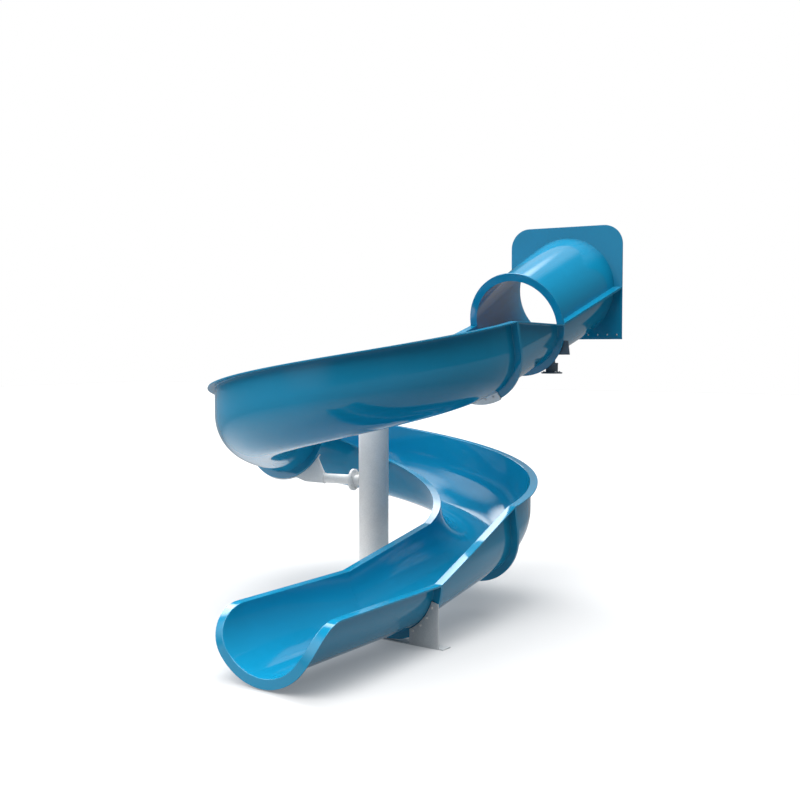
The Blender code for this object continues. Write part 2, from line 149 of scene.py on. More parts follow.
# Posts under the entry joint
POST_OFFSET = 0.272
POST_R = 0.057
POST_WALL = 0.005
POST_FOOT_R = 0.098
POST_FOOT_T = 0.012
POST_FOOT_DROP = 0.452
POST_HEAD_T = 0.010
POST_TOP = 0.352
ENTRY_SADDLE_EDGE = 0.486
ENTRY_SADDLE_LOW = 0.280
ENTRY_SADDLE_TOP = 0.150
ENTRY_SADDLE_TAB = 0.100
ENTRY_SADDLE_TAPER = 0.012
ENTRY_SADDLE_CLEARANCE = 0.006
ENTRY_SADDLE_ANGLE = 58.0
ENTRY_BOLT_ANGLE = -26.0
ENTRY_BOLT_MARGIN = 4.0
POST_FOOT_BOLT_R = 0.079
POST_WELD_H = 0.018

# Ground saddle at the joint before the run-out
GROUND_PLATE_T = 0.008
GROUND_PLATE_HALF_W = 0.500
GROUND_PLATE_BACK = 0.075
GROUND_GUSSET_IN = 0.193
GROUND_GUSSET_OUT = 0.452
GROUND_GUSSET_TOP = 0.148
GROUND_GUSSET_T = 0.012
GROUND_GUSSET_CLEARANCE = 0.005
GROUND_GUSSET_CUT = 0.130
GROUND_BOLT_MARGINS = (6.0, 3.0)
GROUND_ANCHOR_SHARE = 0.30

# Fineness and small edges of the shells
ARC_STEPS = 72
WALL_STEPS = 6
STEP_LENGTH = 0.030
CORNER_STEPS = 18
PLATE_STEPS = 240
FRONT_R = 0.005
BACK_R = 0.005
EDGE_R = 0.0022
ROUND_STEPS = 3
# How far a rounded edge is set back half way round, as a share of its radius
MID_ROUND = 0.293

# Steel details
PLATE_BEVEL = 0.0012
WELD_R = 0.0050
WELD_FINE_R = 0.004
WELD_CAP_R = 0.003
WELD_BASE_R = 0.006
WELD_RIPPLE = 0.007
WELD_SIDES = 8
WELD_SWELL = (-0.06, 0.14)
WELD_SEAT = 0.001
WELD_CAP_SEAT = 0.0005
COPE_DEPTH = 0.002
SPANGLE = 150.0

# Bolts: half the width over flats, head height and washer radius
M8 = (0.0065, 0.0055, 0.0085)
M12 = (0.0095, 0.0078, 0.0125)
M16 = (0.0120, 0.0100, 0.0160)
BOLT_SIDES = 24
WASHER_SHARE = 0.28
WASHER_EDGE = 0.0006
BOLT_CHAMFER = 0.6
BOLT_HEAD = ((1.0, 0.0), (1.0, 0.75), (0.94, 0.95), (0.84, 1.0))
STUD_SHARE = 0.62
STUD_THREAD = (1.0, 0.94)
STUD_RIDGES = 9
STUD_TIP = 0.8
STUD_SIDES = 20
STUD_PITCH = 0.003
STUD_LENGTH = 0.0265

# Gelcoat colours that the shells drift between, then the metals' light and dark ones
GEL_TONES = (0.0045, 0.209, 0.378), (0.0055, 0.225, 0.408)
# Lit copy of the steel and its welds for the column, arms and saddles: lighter tones that are painted
# light
LIT_STEEL_TONES = (0.90, 0.895, 0.885), (0.74, 0.74, 0.735)
LIT_WELD_TONES = (0.70, 0.70, 0.69), (0.54, 0.54, 0.53)
STEEL_TONES = (0.60, 0.62, 0.63), (0.46, 0.49, 0.51)
WELD_TONES = (0.52, 0.54, 0.55), (0.36, 0.38, 0.40)
# Shaded copy of the steel for the entry posts, brackets and their welds: darker tones that are painted
# shade
SHADED_STEEL_TONES = (0.10, 0.14, 0.18), (0.07, 0.10, 0.13)
ZINC_TONES = (0.80, 0.80, 0.79), (0.60, 0.60, 0.60)

# Camera fitted to the photograph, and the studio
CAMERA_PLACE = Vector((5.0609, -8.4062, 2.2632))
CAMERA_AIM = Vector((-0.4940, 0.8682, -0.0479))
CAMERA_LENS = 48.307
FLOOR_SIZE = 90.0
FLOOR_DROP = 0.0005

# Soft studio lights: azimuth, elevation, radius and edge in degrees, and strength
SOFT_LIGHTS = {
    "overhead": (57.0, 80.0, 24.0, 6.0, 3.3),
    "top_back": (100.0, 66.5, 10.8, 3.3, 3.9),
    "top_front": (-87.0, 75.0, 15.0, 5.0, 3.9),
    "front": (-88.0, 55.0, 18.0, 9.0, 4.2),
    "right": (22.0, 50.0, 16.0, 8.0, 2.4),
    "key": (119.0, 60.2, 8.4, 5.6, 3.2),
    "key_low": (117.5, 48.5, 9.5, 2.0, 2.5),
    "back_high": (134.0, 54.0, 10.0, 3.0, 3.9),
    "back_wide": (139.0, 47.0, 13.5, 4.5, 2.2),
    "back": (159.0, 31.0, 14.0, 6.0, 8.6),
    "veil": (109.0, 39.0, 17.0, 5.0, 0.55),
    "front_left": (-140.0, 31.0, 20.0, 14.0, 2.25),
    "front_low": (-108.0, 16.0, 22.0, 8.0, 0.5),
    "low_back": (88.0, 14.0, 16.0, 8.0, 0.4),
}
AMBIENT = 0.095

# Floor: what the camera sees, and the light that it gives back, which fades with distance
FLOOR_TONE = (0.447, 0.447, 0.447)
FLOOR_TONE_LIGHT = (0.453, 0.453, 0.453)
FLOOR_GLOW = (0.163, 0.172, 0.181)
BOUNCE_CENTRE = (-1.2, -0.2, 0.0)
BOUNCE_NEAR = 1.5
BOUNCE_FAR = 5.5
FAR_TONE = (0.10, 0.10, 0.10)
FAR_GLOW = (0.10, 0.10, 0.10)


def heading(angle):
    """Unit direction in plan."""
    return Vector((math.cos(math.radians(angle)), math.sin(math.radians(angle)), 0.0))


class Station:
    """One cross section: a centre, the way of travel, the outward side and the lean."""

    def __init__(self, centre, angle, lean, rise):
        self.centre = Vector(centre)
        self.along = heading(angle)
        self.out = Vector((-self.along.y, self.along.x, 0.0))
        self.lean = lean
        self.rise = rise

    def at(self, y, z, shift=0.0):
        """A point of the section, y outward and z up, moved along by shift."""
        return self.centre + self.out * y + self.along * (z * self.lean + shift) + UP * z

    def moved(self, distance, slope):
        """The same section further along the way of travel, on a falling slope."""
        other = Station(self.centre, 0.0, self.lean, self.rise)
        other.along = self.along
        other.out = self.out
        other.centre = self.centre + self.along * distance - UP * (slope * distance)
        return other

    def rising(self):
        """Up within the section's plane, as long as it rises one metre."""
        return UP + self.along * self.lean

    def normal(self):
        """Square to the section's plane, towards the way of travel."""
        return self.out.cross(self.rising()).normalized()


# Centre line, as in the solids

def turn_station(angle):
    """A section of the turn, by the angle gone through since its start."""
    phi = TURN_START - angle
    spent = min(angle, UPPER_CURVE_ANGLE)
    rest = max(0.0, angle - UPPER_CURVE_ANGLE)
    fall = TURN_R * math.radians(spent) * UPPER_SLOPE + TURN_R * math.radians(rest) * LOWER_SLOPE
    if angle < LEAN_BLEND_ANGLE:
        lean = LEAN_TOP + (LEAN_MIDDLE - LEAN_TOP) * angle / LEAN_BLEND_ANGLE
    else:
        whole = UPPER_CURVE_ANGLE + LOWER_CURVE_ANGLE
        share = (angle - LEAN_BLEND_ANGLE) / (whole - LEAN_BLEND_ANGLE)
        lean = LEAN_MIDDLE + (LEAN_BOTTOM - LEAN_MIDDLE) * share
    centre = heading(phi) * TURN_R + UP * (TURN_TOP_Z - fall)
    return Station(centre, phi - 90.0, lean, OUTER_WALL_RISE)


def entry_station(distance):
    """A section of the entry tube, by the distance back from the entry joint."""
    share = distance / ENTRY_LENGTH
    centre = (ENTRY_X, ENTRY_JOINT_Y + distance, ENTRY_JOINT_Z + ENTRY_SLOPE * distance)
    return Station(centre, -90.0, LEAN_ENTRY * (1.0 - share), 0.0)


def upper_transition_station(share):
    """A section between the entry joint (0) and the top of the turn (1)."""
    first = entry_station(0.0)
    last = turn_station(0.0)
    centre = first.centre.lerp(last.centre, share)
    lean = LEAN_ENTRY + (LEAN_TOP - LEAN_ENTRY) * share
    return Station(centre, -90.0 + TURN_START * share, lean, OUTER_WALL_RISE * share)


def lower_station(distance):
    """A section of the straight pieces, by the distance from the bottom of the turn."""
    start = turn_station(UPPER_CURVE_ANGLE + LOWER_CURVE_ANGLE)
    end_angle = TURN_START - UPPER_CURVE_ANGLE - LOWER_CURVE_ANGLE - 90.0
    length = LOWER_TRANSITION_LENGTH
    share = min(1.0, distance / length)
    left = 1.0 - share
    beyond = max(0.0, distance - length)
    fall = LOWER_TRANSITION_FALL * share + RUNOUT_FALL * beyond / RUNOUT_LENGTH
    centre = start.centre + heading(end_angle - RUNOUT_BEND / 2.0) * (length * share)
    centre += heading(end_angle - RUNOUT_BEND) * beyond
    centre.z = start.centre.z - fall
    return Station(centre, end_angle - RUNOUT_BEND * share, LEAN_BOTTOM * left, OUTER_WALL_RISE * left)


# Materials

def node_tree(name):
    made = bpy.data.materials.new(name)
    made.use_nodes = True
    return made, made.node_tree.nodes, made.node_tree.links


def noise(nodes, links, scale, detail, source):
    made = nodes.new("ShaderNodeTexNoise")
    made.inputs["Scale"].default_value = scale
    made.inputs["Detail"].default_value = detail
    links.new(source, made.inputs["Vector"])
    return made.outputs["Fac"]


def ranged(nodes, links, value, low, high, start=0.0, end=1.0):
    """A value mapped onto low..high."""
    made = nodes.new("ShaderNodeMapRange")
    made.inputs["From Min"].default_value = start
    made.inputs["From Max"].default_value = end
    made.inputs["To Min"].default_value = low
    made.inputs["To Max"].default_value = high
    links.new(value, made.inputs["Value"])
    return made.outputs["Result"]


def mixed(nodes, links, share, first, second):
    """Two colours mixed by a share."""
    made = nodes.new("ShaderNodeMix")
    made.data_type = "RGBA"
    made.inputs["A"].default_value = (*first, 1.0)
    made.inputs["B"].default_value = (*second, 1.0)
    links.new(share, made.inputs["Factor"])
    return made.outputs["Result"]


def bump(nodes, links, height, distance, strength, below=None):
    made = nodes.new("ShaderNodeBump")
    made.inputs["Distance"].default_value = distance
    made.inputs["Strength"].default_value = strength
    links.new(height, made.inputs["Height"])
    if below is not None:
        links.new(below, made.inputs["Normal"])
    return made.outputs["Normal"]


def gelcoat_material():
    """Polished blue gelcoat: slow colour drift, faint waves from the mould and orange peel."""
    made, nodes, links = node_tree("gelcoat_blue")
    shader = nodes["Principled BSDF"]
    place = nodes.new("ShaderNodeTexCoord").outputs["Object"]
    drift = noise(nodes, links, 1.7, 3.0, place)
    share = ranged(nodes, links, drift, 0.0, 1.0, 0.3, 0.7)
    links.new(mixed(nodes, links, share, *GEL_TONES), shader.inputs["Base Color"])
    film = noise(nodes, links, 9.0, 5.0, place)
    links.new(ranged(nodes, links, film, 0.045, 0.090, 0.3, 0.7), shader.inputs["Roughness"])
    waves = bump(nodes, links, noise(nodes, links, 5.0, 1.0, place), 0.004, 0.05)
    peel = bump(nodes, links, noise(nodes, links, 260.0, 2.0, place), 0.0002, 0.06, waves)
    links.new(peel, shader.inputs["Normal"])
    shader.inputs["IOR"].default_value = 1.5
    return made


def steel_material(name, tones, spangle, roughness):
    """Dull galvanised steel: fine spangle crystals, grain and faint patches. The tones passed in also
    stand for light and shade: the lighter copy is painted light, the darker copy painted shade.
    """
    made, nodes, links = node_tree(name)
    shader = nodes["Principled BSDF"]
    place = nodes.new("ShaderNodeTexCoord").outputs["Object"]
    cells = nodes.new("ShaderNodeTexVoronoi")
    cells.inputs["Scale"].default_value = spangle
    links.new(place, cells.inputs["Vector"])
    grey = nodes.new("ShaderNodeSeparateColor")
    links.new(cells.outputs["Color"], grey.inputs["Color"])
    crystal = grey.outputs["Red"]
    grain = noise(nodes, links, 420.0, 4.0, place)
    patches = noise(nodes, links, 9.0, 5.0, place)
    blend = nodes.new("ShaderNodeMath")
    blend.operation = "ADD"
    links.new(ranged(nodes, links, crystal, 0.0, 0.50), blend.inputs[0])
    links.new(ranged(nodes, links, patches, 0.0, 0.25, 0.35, 0.65), blend.inputs[1])
    speckled = nodes.new("ShaderNodeMath")
    speckled.operation = "ADD"
    links.new(blend.outputs["Value"], speckled.inputs[0])
    links.new(ranged(nodes, links, grain, 0.0, 0.25, 0.3, 0.7), speckled.inputs[1])
    light, dark = tones
    links.new(mixed(nodes, links, speckled.outputs["Value"], dark, light), shader.inputs["Base Color"])
    rough = ranged(nodes, links, crystal, roughness - 0.05, roughness + 0.08)
    links.new(rough, shader.inputs["Roughness"])
    shader.inputs["Metallic"].default_value = 0.10
    links.new(bump(nodes, links, grain, 0.0004, 0.20), shader.inputs["Normal"])
    return made


def floor_shader(nodes, links, tone):
    """Matt surface that glows a little, so that shadows on it stay light."""
    shader = nodes.new("ShaderNodeBsdfPrincipled")
    links.new(tone, shader.inputs["Base Color"])
    shader.inputs["Emission Strength"].default_value = 1.0
    shader.inputs["Roughness"].default_value = 0.9
    shader.inputs["Specular IOR Level"].default_value = 0.0
    return shader


def floor_material():
    """Pale studio floor. The light that it gives back to the slide fades with distance."""
    made, nodes, links = node_tree("studio_floor")
    nodes.remove(nodes["Principled BSDF"])
    place = nodes.new("ShaderNodeTexCoord").outputs["Object"]
    drift = ranged(nodes, links, noise(nodes, links, 3.0, 3.0, place), 0.0, 1.0)
    tone = mixed(nodes, links, drift, FLOOR_TONE, FLOOR_TONE_LIGHT)
    shown = floor_shader(nodes, links, tone)
    shown.inputs["Emission Color"].default_value = (*FLOOR_GLOW, 1.0)

    reach = nodes.new("ShaderNodeVectorMath")
    reach.operation = "DISTANCE"
    reach.inputs[1].default_value = BOUNCE_CENTRE
    links.new(place, reach.inputs[0])
    far = ranged(nodes, links, reach.outputs["Value"], 0.0, 1.0, BOUNCE_NEAR, BOUNCE_FAR)
    bounced = floor_shader(nodes, links, mixed(nodes, links, far, FLOOR_TONE, FAR_TONE))
    links.new(mixed(nodes, links, far, FLOOR_GLOW, FAR_GLOW), bounced.inputs["Emission Color"])

    mix = nodes.new("ShaderNodeMixShader")
    links.new(nodes.new("ShaderNodeLightPath").outputs["Is Camera Ray"], mix.inputs["Fac"])
    links.new(bounced.outputs["BSDF"], mix.inputs[1])
    links.new(shown.outputs["BSDF"], mix.inputs[2])
    links.new(mix.outputs["Shader"], nodes["Material Output"].inputs["Surface"])
    return made


GELCOAT = gelcoat_material()
# Painted light: lighter copies of the steel and weld, for the column and the arms
LIT_STEEL = steel_material("painted_light_steel", LIT_STEEL_TONES, SPANGLE, 0.50)
LIT_WELD = steel_material("painted_light_weld", LIT_WELD_TONES, SPANGLE * 2.0, 0.55)
STEEL = steel_material("galvanised_steel", STEEL_TONES, SPANGLE, 0.50)
WELD = steel_material("galvanised_weld", WELD_TONES, SPANGLE * 2.0, 0.55)
# Painted shade: the darker copy of the steel, for the parts under the entry joint
SHADED_STEEL = steel_material("painted_shade_steel", SHADED_STEEL_TONES, SPANGLE, 0.45)
ZINC = steel_material("zinc_fastener", ZINC_TONES, SPANGLE * 3.0, 0.30)


# Making pieces

def piece_from(name, mesh, material, replaced=(), sharp=35.0, merge=0.00001):
    """Close the mesh and add it as a smooth piece that stands for the named solids."""
    bmesh.ops.remove_doubles(mesh, verts=mesh.verts, dist=merge)
    bmesh.ops.dissolve_degenerate(mesh, edges=mesh.edges, dist=merge)
    bmesh.ops.recalc_face_normals(mesh, faces=mesh.faces)
    for face in mesh.faces:
        face.smooth = True
    data = bpy.data.meshes.new(name)
    mesh.to_mesh(data)
    mesh.free()
    data.set_sharp_from_angle(angle=math.radians(sharp))
    data.materials.append(material)
    item = bpy.data.objects.new(name, data)
    bpy.context.scene.collection.objects.link(item)
    weighted = item.modifiers.new("even_shading", "WEIGHTED_NORMAL")
    weighted.keep_sharp = True
    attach(item, "root")
    if replaced:
        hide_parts(*replaced)
    return item


def close_rows(mesh, rows, cap=False, loop=False):
    """Faces between closed rows of points, with caps at both ends or joined end to end."""
    count = len(rows[0])
    for near, far in zip(rows, rows[1:] + rows[:1] if loop else rows[1:]):
        for i in range(count):
            j = (i + 1) % count
            mesh.faces.new((near[i], near[j], far[j], far[i]))
    if cap:
        mesh.faces.new(list(reversed(rows[0])))
        mesh.faces.new(rows[-1])


# Moulded shells

def channel_point(reach, depth):
    """A point of the open flume's wall. reach runs along the channel side from the inner rim,
    and depth is measured outward through the wall."""
    if reach <= HALF_ROUND:
        a = math.pi + reach / CHANNEL_R
        radius = CHANNEL_R + depth
        return radius * math.cos(a), radius * math.sin(a)
    return CHANNEL_R + depth, reach - HALF_ROUND


def round_angles():
    """Angles of the points along a rounded edge, a quarter turn in all."""
    return [math.radians(90.0 / ROUND_STEPS * i) for i in range(ROUND_STEPS + 1)]


def flange_depths(width):
    """Depths of the flange's outline, from the channel side round its edge to the back."""
    half = EDGE_R * MID_ROUND
    front = [FRONT_R * (1.0 - math.cos(angle)) for angle in round_angles()]
    edge = [width - EDGE_R, width - half, width, width, width - half, width - EDGE_R]
    back = [WALL + BACK_R, WALL + BACK_R * MID_ROUND, WALL]
    return [min(depth, width) for depth in front + edge + back]


def flange_insets(thick, front_r):
    """How far each point of that outline is set back from the piece's edge."""
    half = EDGE_R * MID_ROUND
    front = [front_r * (1.0 - math.sin(angle)) for angle in round_angles()]
    edge = [0.0, half, EDGE_R, thick - EDGE_R, thick - half, thick]
    back = [thick, thick + BACK_R * MID_ROUND, thick + BACK_R]
    return front + edge + back


class Flume:
    """An open flume piece between two joint planes, or from a joint to a rounded free end."""

    rim_insets = flange_insets(RIM_T, FRONT_R)
    ring_insets = flange_insets(RING_T, 0.0)

    def __init__(self, station_at, length, slopes, corner=0.0):
        self.station_at = station_at
        self.length = length
        self.rows = max(8, round(length / STEP_LENGTH))
        self.slopes = slopes
        self.corner = corner
        if corner:
            quarter = 90.0 / CORNER_STEPS
            angles = [math.radians(quarter * i) for i in range(CORNER_STEPS + 1)]
            round_part = [corner * (1.0 - math.cos(angle)) for angle in angles]
            middle = HALF_ROUND - 2.0 * corner
            steps = ARC_STEPS // 2
            self.reaches = round_part + [corner + middle * i / steps for i in range(1, steps)]
            self.reaches += [HALF_ROUND - reach for reach in reversed(round_part)]
        else:
            self.reaches = [HALF_ROUND * i / ARC_STEPS for i in range(ARC_STEPS + 1)]
            self.reaches += [HALF_ROUND] * WALL_STEPS
        self.columns = len(self.reaches) - 1

    def end_reach(self, reach, rim):
        """Reach of a point of the rounded end, and how far short of the end it stops."""
        edge = min(reach, HALF_ROUND - reach)
        if edge >= self.corner:
            return reach, rim
        radius = self.corner - rim
        side = radius * (self.corner - edge) / self.corner
        short = self.corner - math.sqrt(max(0.0, radius * radius - side * side))
        edge = self.corner - side
        return (edge if reach < HALF_ROUND / 2.0 else HALF_ROUND - edge), short

    def station(self, row, ring, short):
        """The section of a row: ring sets it back from a joint, short from the free end."""
        if row == 0:
            return self.station_at(0.0).moved(ring, self.slopes[0])
        if row == self.rows and not self.corner:
            return self.station_at(self.length).moved(-ring, self.slopes[1])
        return self.station_at((self.length - short) * row / self.rows)

    def place(self, row, column, point, depth):
        """A point of the piece: point says which line of the flange's outline it is on."""
        rim = self.rim_insets[point]
        ring = self.ring_insets[point] + GAP / 2.0
        reach = self.reaches[column]
        short = 0.0
        if self.corner:
            reach, short = self.end_reach(reach, rim)
        elif column <= ARC_STEPS:
            reach = rim + reach * (HALF_ROUND - rim) / HALF_ROUND
        station = self.station(row, ring, short)
        if column > ARC_STEPS and not self.corner:
            reach = HALF_ROUND + station.rise * (column - ARC_STEPS) / WALL_STEPS
        reach = min(reach, HALF_ROUND + station.rise - rim)
        return station.at(*channel_point(reach, depth))

    def flange(self, edge, row):
        """Width of the flange through the wall, the same on every edge."""
        return FLANGE_R - CHANNEL_R


class HalfTube:
    """Half of the flared entry tube, with flanges along its split lines and at the joint."""

    rim_insets = flange_insets(SPLIT_T, 0.0)
    ring_insets = flange_insets(RING_T, 0.0)
    columns = ARC_STEPS

    def __init__(self, upper):
        self.upper = upper
        self.rows = round(ENTRY_LENGTH / STEP_LENGTH)

    def place(self, row, column, point, depth):
        """A point of the piece: point says which line of the flange's outline it is on."""
        last = self.ring_insets[point] + GAP / 2.0
        back = ENTRY_LENGTH - (ENTRY_LENGTH - last) * row / self.rows
        radius = CHANNEL_R + (MOUTH_R - CHANNEL_R) * back / ENTRY_LENGTH
        split = GAP / 2.0 + self.rim_insets[point]
        trim = math.degrees(split / radius)
        a = math.radians(180.0 + trim + (180.0 - 2.0 * trim) * column / self.columns)
        y, z = (radius + depth) * math.cos(a), (radius + depth) * math.sin(a)
        if column in (0, self.columns):
            z = -split
        return entry_station(back).at(y, -z if self.upper else z)

    def flange(self, edge, row):
        """Width of the flange: none at the mouth, and along the split by row."""
        if edge == "start":
            return WALL
        if edge == "end":
            return ENTRY_RING_R - CHANNEL_R
        mouth = MOUTH_SPLIT_R - MOUTH_R
        joint = FLANGE_R - CHANNEL_R
        return mouth + (joint - mouth) * row / self.rows


def edge_walk(piece):
    """The piece's edge as (row, column, flange width), once around."""
    rows, columns = piece.rows, piece.columns
    walk = [(row, 0, piece.flange("rim", row)) for row in range(rows + 1)]
    walk += [(rows, column, piece.flange("end", rows)) for column in range(columns + 1)]
    walk += [(row, columns, piece.flange("rim", row)) for row in range(rows, -1, -1)]
    walk += [(0, column, piece.flange("start", 0)) for column in range(columns, -1, -1)]
    return walk


def shell(node, piece):
    """A moulded wall with a rounded flange turned outward all around its edge."""
    mesh = bmesh.new()
    last = len(piece.rim_insets) - 1
    grids = {}
    for point, depth in ((0, 0.0), (last, WALL)):
        grid = []
        for row in range(piece.rows + 1):
            grid.append([
                mesh.verts.new(piece.place(row, column, point, depth))
                for column in range(piece.columns + 1)
            ])
        grids[point] = grid
        for row in range(piece.rows):
            for column in range(piece.columns):
                mesh.faces.new((
                    grid[row][column], grid[row][column + 1],
                    grid[row + 1][column + 1], grid[row + 1][column],
                ))
    strips = []
    for row, column, width in edge_walk(piece):
        depths = flange_depths(width)
        strip = [grids[0][row][column]]
        for point in range(1, last):
            strip.append(mesh.verts.new(piece.place(row, column, point, depths[point])))
        strip.append(grids[last][row][column])
        strips.append(strip)
    for near, far in zip(strips, strips[1:] + strips[:1]):
        for i in range(last):
            corners = []
            for vert in (near[i], near[i + 1], far[i + 1], far[i]):
                if vert not in corners:
                    corners.append(vert)
            if len(corners) > 2:
                mesh.faces.new(corners)
    return piece_from(node + "_shell", mesh, GELCOAT, (node,))


def build_flumes():
    """The moulded pieces from the mouth down to the run-out."""
    shell("entry_tube_upper_half", HalfTube(True))
    shell("entry_tube_lower_half", HalfTube(False))

    drop = entry_station(0.0).centre - turn_station(0.0).centre
    length = drop.to_2d().length
    slope = drop.z / length
    shell(
        "upper_transition_flume",
        Flume(lambda s: upper_transition_station(s / length), length, (slope, slope)),
    )

    per_degree = TURN_R * math.radians(1.0)
    upper_length = per_degree * UPPER_CURVE_ANGLE
    lower_length = per_degree * LOWER_CURVE_ANGLE
    shell(
        "upper_curve_flume",
        Flume(lambda s: turn_station(s / per_degree), upper_length, (UPPER_SLOPE, UPPER_SLOPE)),
    )
    shell(
        "lower_curve_flume",
        Flume(
            lambda s: turn_station(UPPER_CURVE_ANGLE + s / per_degree),
            lower_length,
            (LOWER_SLOPE, LOWER_SLOPE),
        ),
    )
    slope = LOWER_TRANSITION_FALL / LOWER_TRANSITION_LENGTH
    shell("lower_transition_flume", Flume(lower_station, LOWER_TRANSITION_LENGTH, (slope, slope)))
    slope = RUNOUT_FALL / RUNOUT_LENGTH
    shell(
        "runout_flume",
        Flume(
            lambda s: lower_station(LOWER_TRANSITION_LENGTH + s),
            RUNOUT_LENGTH,
            (slope, slope),
            RUNOUT_CORNER,
        ),
    )


# Start plate

def plate_outline(half_w, low, high, corner, corner_points):
    """Rectangle with round top corners and square lower ones, a point per angle about the axis."""
    points = []
    for i in range(PLATE_STEPS):
        a = math.radians(360.0 * (i + 0.5) / PLATE_STEPS)
        if i in corner_points:
            points.append((corner_points[i] * half_w, low))
            continue
        dx, dz = math.cos(a), math.sin(a)
        reach = min(half_w / max(abs(dx), 1e-9), (high if dz > 0 else -low) / max(abs(dz), 1e-9))
        x, z = dx * reach, dz * reach
        cx, cz = half_w - corner, high - corner
        if abs(x) > cx and z > cz:
            b = abs(dx) * cx + dz * cz
            c = cx * cx + cz * cz - corner * corner
            reach = b + math.sqrt(b * b - c)
            x, z = dx * reach, dz * reach
        points.append((x, z))
    return points


def build_start_plate():
    """Upright panel around the mouth: rounded edges and a set-back lip along its foot."""
    mouth = entry_station(ENTRY_LENGTH).centre
    front = mouth.y + GAP
    half_w = PLATE_W / 2.0
    low = -PLATE_AXIS_HEIGHT + PLATE_LIP_H
    high = PLATE_H - PLATE_AXIS_HEIGHT
    corner_points = {}
    for side in (-1.0, 1.0):
        a = math.degrees(math.atan2(low, side * half_w)) % 360.0
        corner_points[round(a * PLATE_STEPS / 360.0 - 0.5)] = side

    def loop(inset, y):
        corner = PLATE_CORNER_R - inset
        outline = plate_outline(half_w - inset, low + inset, high - inset, corner, corner_points)
        return [(mouth.x + px, y, mouth.z + pz) for px, pz in outline]

    def hole(radius, y):
        ring = []
        for i in range(PLATE_STEPS):
            a = math.radians(360.0 * (i + 0.5) / PLATE_STEPS)
            ring.append((mouth.x + radius * math.cos(a), y, mouth.z + radius * math.sin(a)))
        return ring

    back = front + PLATE_T
    r = PLATE_EDGE_R
    mid = r * MID_ROUND
    loops = [
        hole(MOUTH_R, front), loop(r, front), loop(mid, front + mid), loop(0.0, front + r),
        loop(0.0, back - r), loop(mid, back - mid), loop(r, back),
        hole(MOUTH_R + r, back), hole(MOUTH_R + mid, back - mid), hole(MOUTH_R, back - r),
    ]
    mesh = bmesh.new()
    rows = [[mesh.verts.new(p) for p in ring] for ring in loops]
    close_rows(mesh, rows, loop=True)
    lip = [(-half_w, low - PLATE_LIP_H), (half_w, low - PLATE_LIP_H), (half_w, low), (-half_w, low)]
    base = Vector((mouth.x, front + PLATE_LIP_SET_BACK, mouth.z))
    add_plate(mesh, lip, base, EAST, UP, NORTH * (PLATE_T - PLATE_LIP_SET_BACK))
    piece_from("start_plate_panel", mesh, GELCOAT, ("start_plate",))

    mesh = bmesh.new()
    spacing = PLATE_W / PLATE_BOLTS
    for i in range(PLATE_BOLTS):
        x = mouth.x - half_w + spacing * (i + 0.5)
        place = Vector((x, front, mouth.z - PLATE_AXIS_HEIGHT + PLATE_BOLT_HEIGHT))
        add_bolt(mesh, place, -NORTH, M8)
    piece_from("start_plate_bolts", mesh, ZINC)


# Steelwork

def add_plate(mesh, outline, base, side, up, thick, bevel=PLATE_BEVEL):
    """A flat plate with rounded edges, from an outline of (side, up) points."""
    near = [mesh.verts.new(base + side * a + up * b) for a, b in outline]
    far = [mesh.verts.new(vert.co + thick) for vert in near]
    count = len(near)
    front = mesh.faces.new(list(reversed(near)))
    back = mesh.faces.new(far)
    for i in range(count):
        j = (i + 1) % count
        mesh.faces.new((near[i], near[j], far[j], far[i]))
    rims = list(front.edges) + list(back.edges)
    bmesh.ops.bevel(
        mesh, geom=rims, offset=bevel, offset_type="OFFSET", segments=2, profile=0.5,
        affect="EDGES", clamp_overlap=True,
    )


def arc(radius, start, stop, steps):
    """Points of an arc about the section's centre."""
    points = []
    for i in range(steps + 1):
        a = math.radians(start + (stop - start) * i / steps)
        points.append((radius * math.cos(a), radius * math.sin(a)))
    return points


def turned(mesh, centre, axis, profile, sides, cope_r=None, loop=True, hexagon=False):
    """A turned solid from (radius, distance along the axis) points.

    With cope_r the first points move out to sit on the upright column.
    With hexagon the radius is that of the flats of a hexagonal bar.
    """
    side = axis.cross(UP)
    if side.length < 0.5:
        side = EAST.copy()
    side.normalize()
    up = side.cross(axis)
    rows = []
    for radius, along in profile:
        row = []
        for i in range(sides):
            a = math.tau * i / sides
            reach = radius
            if hexagon:
                flat = (a % (math.pi / 3.0)) - math.pi / 6.0
                reach = min(radius / math.cos(flat), hexagon - max(0.0, along) * BOLT_CHAMFER)
            x, y = reach * math.cos(a), reach * math.sin(a)
            shift = along
            if cope_r is not None and along <= COPE_DEPTH:
                shift = math.sqrt(cope_r * cope_r - x * x) + along
            row.append(mesh.verts.new(centre + side * x + up * y + axis * shift))
        rows.append(row)
    close_rows(mesh, rows, cap=not loop, loop=loop)


def add_tube(mesh, start, axis, length, outer, wall, sides=64, cope_r=None, edge=0.0010):
    """A pipe with softened edges at both ends."""
    inner = outer - wall
    profile = [
        (outer - edge, 0.0), (outer, edge), (outer, length - edge), (outer - edge, length),
        (inner + edge, length), (inner, length - edge), (inner, edge), (inner + edge, 0.0),
    ]
    turned(mesh, start, axis, profile, sides, cope_r)


def add_disc(mesh, centre, axis, radius, thickness, sides=64, edge=0.0012):
    """A round plate with softened edges."""
    profile = [
        (radius - edge, 0.0), (radius, edge), (radius, thickness - edge), (radius - edge, thickness),
    ]
    turned(mesh, centre, axis, profile, sides, loop=False)


def add_bolt(mesh, place, axis, size):
    """Washer and chamfered hexagon head on a face."""
    flats, head, washer = size
    washer_t = head * WASHER_SHARE
    add_disc(mesh, place, axis, washer, washer_t, BOLT_SIDES, WASHER_EDGE)
    base = place + axis * washer_t
    corner = flats / math.cos(math.pi / 6.0)
    profile = [(flats * width, head * height) for width, height in BOLT_HEAD]
    turned(mesh, base, axis, profile, BOLT_SIDES, loop=False, hexagon=corner)


